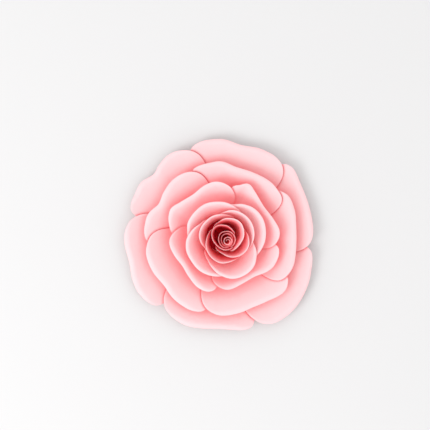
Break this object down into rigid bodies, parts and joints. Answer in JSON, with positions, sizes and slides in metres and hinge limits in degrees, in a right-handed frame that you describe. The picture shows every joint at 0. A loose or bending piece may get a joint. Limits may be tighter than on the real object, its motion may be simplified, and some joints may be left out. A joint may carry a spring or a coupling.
{
  "type": "giant paper rose",
  "caption": "Large round rose made of curled card petals glued in layers on a round card disc, with a rolled card centre, for wall and table decoration.",
  "frame": {"origin": "centre of the base disc's flat back face, where the flower lies on a table or is fixed to a wall", "axes": "+Z out of the flower's face, away from what it lies on; +X to the right and +Y up for someone who looks at the flower's face"},
  "size_m": [0.3968, 0.4026, 0.0897],
  "materials": {
    "petal_card": "matte",
    "bud_card": "matte",
    "disc_card": "matte"
  },
  "bodies": {
    "root": {"base_disc": "disc_card", "outer_petal_1": "petal_card", "outer_petal_2": "petal_card", "outer_petal_3": "petal_card", "outer_petal_4": "petal_card", "outer_petal_5": "petal_card", "outer_petal_6": "petal_card", "second_petal_1": "petal_card", "second_petal_2": "petal_card", "second_petal_3": "petal_card", "second_petal_4": "petal_card", "second_petal_5": "petal_card", "third_petal_1": "petal_card", "third_petal_2": "petal_card", "third_petal_3": "petal_card", "third_petal_4": "petal_card", "fourth_petal_1": "petal_card", "fourth_petal_2": "petal_card", "fourth_petal_3": "petal_card", "fourth_petal_4": "petal_card", "inner_petal_1": "petal_card", "inner_petal_2": "petal_card", "bud_petal_1": "bud_card", "bud_petal_2": "bud_card", "bud_petal_3": "bud_card", "bud_petal_4": "bud_card", "rolled_centre": "bud_card"}
  },
  "joints": []
}
